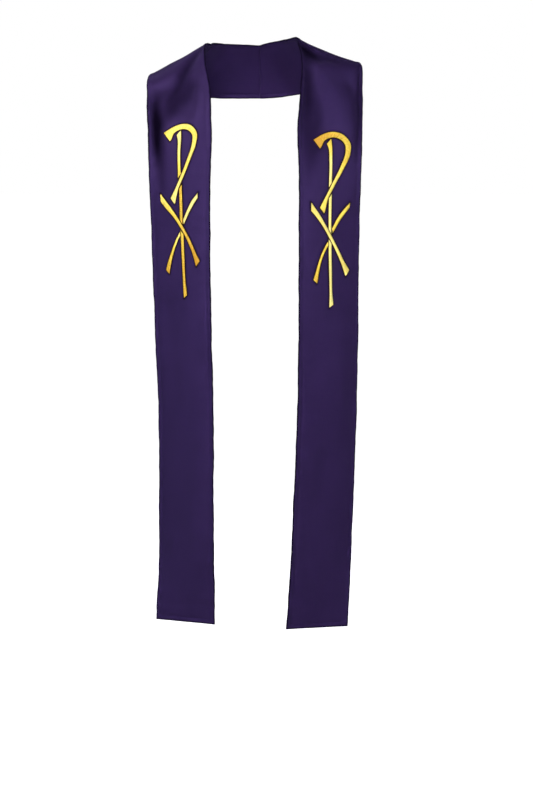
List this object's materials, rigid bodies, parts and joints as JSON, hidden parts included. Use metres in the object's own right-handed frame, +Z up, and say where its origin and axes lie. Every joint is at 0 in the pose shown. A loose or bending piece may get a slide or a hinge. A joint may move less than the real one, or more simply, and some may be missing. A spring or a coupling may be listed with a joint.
{
  "type": "clerical stole",
  "caption": "Purple shaped stole in its worn, hollow form: a narrow band round the neck with two long straight fronts, a gold stitched Chi-Rho on each.",
  "frame": {"origin": "the nape: middle of the neck edge at the back, on the underside of the cloth, where the wearer holds the stole up", "axes": "+Z up, the fronts face -Y, +X to the wearer's left, which is the viewer's right"},
  "size_m": [0.4224, 0.2541, 1.1616],
  "materials": {
    "stole_cloth": "purple gabardine, dull, with turned edges",
    "gold_thread": "bright gold satin stitch"
  },
  "bodies": {
    "root": {"right_half": "stole_cloth", "left_half": "stole_cloth", "right_bowl": "gold_thread", "right_staff_top": "gold_thread", "right_staff_middle": "gold_thread", "right_staff_foot": "gold_thread", "right_chi_over": "gold_thread", "right_chi_under_top": "gold_thread", "right_chi_under_foot": "gold_thread", "left_bowl": "gold_thread", "left_staff_top": "gold_thread", "left_staff_middle": "gold_thread", "left_staff_foot": "gold_thread", "left_chi_over": "gold_thread", "left_chi_under_top": "gold_thread", "left_chi_under_foot": "gold_thread"}
  },
  "joints": []
}
